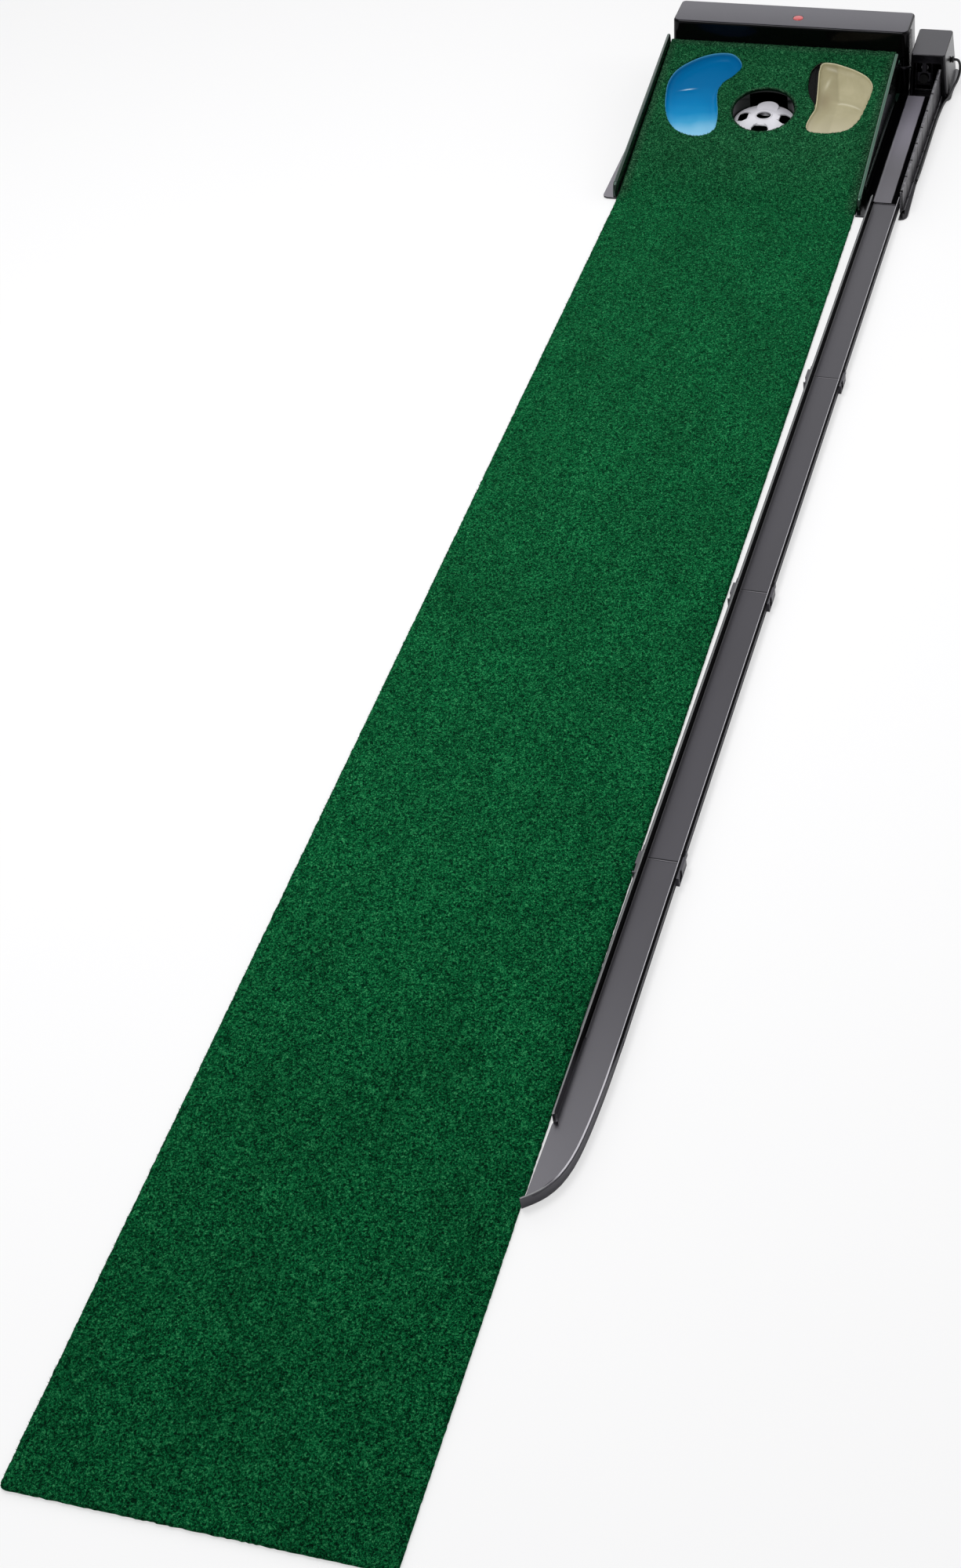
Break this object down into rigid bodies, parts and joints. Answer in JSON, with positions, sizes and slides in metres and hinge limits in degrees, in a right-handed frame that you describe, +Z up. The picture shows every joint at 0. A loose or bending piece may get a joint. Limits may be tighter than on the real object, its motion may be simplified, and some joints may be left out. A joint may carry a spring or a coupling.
{
  "type": "practice putting mat",
  "caption": "Long flat putting mat rising over a ramp to a cup between two hazard trays, with side rails, a rear backstop and a ball-return kicker feeding a low track along one side.",
  "frame": {"origin": "on the floor directly under the centre of the cup, in the underside plane of the base plate", "axes": "+Y along the mat from the player's end towards the cup and backstop, +X to the return-track side, +Z up"},
  "size_m": [0.5414, 2.8317, 0.1155],
  "materials": {
    "turf": "short dense artificial putting turf, matt",
    "black_plastic": "moulded, fine satin texture",
    "black_gloss": "moulded, polished",
    "grey_plastic": "moulded, satin dark grey",
    "white_plastic": "moulded, semi-gloss white",
    "blue_plastic": "moulded, glossy water blue",
    "sand_plastic": "moulded, satin sand beige",
    "red_lens": "moulded, glossy red",
    "black_rubber": "matt soft rubber",
    "steel": "plain bright steel",
    "zinc_bracket": "pressed zinc-plated steel",
    "circuit_board": "green solder mask over glass-fibre board"
  },
  "bodies": {
    "head": {"turf_mat": "turf", "base_plate": "black_plastic", "ramp_deck": "black_plastic", "side_rail_left": "black_gloss", "side_rail_right": "black_gloss", "backstop_hood": "black_gloss", "power_lamp": "red_lens", "ball_gutter": "black_plastic", "chute_floor": "grey_plastic", "chute_wall": "black_plastic", "ball_exit_guide": "black_gloss", "cup_liner": "black_gloss", "cup_base": "black_plastic", "target_plate_pin": "steel", "target_plate_spring": "steel", "ball_sensor_switch": "black_plastic", "water_hazard_tray": "blue_plastic", "sand_hazard_tray": "sand_plastic", "kicker_housing": "grey_plastic", "kicker_frame": "zinc_bracket", "kicker_pivot_pin": "steel", "solenoid_body": "zinc_bracket", "control_board": "circuit_board", "power_cord": "black_rubber", "cord_grommet": "black_rubber", "base_screw_1": "steel", "base_screw_2": "steel", "base_screw_3": "steel", "base_screw_4": "steel"},
    "target_plate": {"cup_target_plate": "white_plastic"},
    "kicker": {"kicker_arm": "grey_plastic", "kicker_pad": "black_rubber"},
    "plunger": {"solenoid_plunger": "steel"},
    "track_1": {"track_section_1": "grey_plastic"},
    "track_2": {"track_section_2": "grey_plastic"},
    "track_3": {"track_section_3": "grey_plastic"},
    "track_end": {"track_end_section": "grey_plastic"}
  },
  "joints": [
    {"name": "target_plate_tilt", "type": "hinge", "parent": "head", "child": "target_plate", "pos_m": [0, -0.044, 0.023], "axis": [1, 0, 0], "range_deg": [-9, 0]},
    {"name": "kicker_swing", "type": "hinge", "parent": "head", "child": "kicker", "pos_m": [0.251, 0.1887, 0.068], "axis": [1, 0, 0], "range_deg": [-32, 0]},
    {"name": "solenoid_push", "type": "slide", "parent": "head", "child": "plunger", "axis": [0, 1, 0], "range_m": [-0.0112, 0]},
    {"name": "track_1_pull", "type": "slide", "parent": "head", "child": "track_1", "axis": [0, 1, 0], "range_m": [-0.06, 0]},
    {"name": "track_2_pull", "type": "slide", "parent": "track_1", "child": "track_2", "axis": [0, 1, 0], "range_m": [-0.06, 0]},
    {"name": "track_3_pull", "type": "slide", "parent": "track_2", "child": "track_3", "axis": [0, 1, 0], "range_m": [-0.06, 0]},
    {"name": "track_end_pull", "type": "slide", "parent": "track_3", "child": "track_end", "axis": [0, 1, 0], "range_m": [-0.06, 0]}
  ],
  "couplings": [
    {"joint": "solenoid_push", "follows": "kicker_swing", "m_per_rad": 0.02}
  ]
}
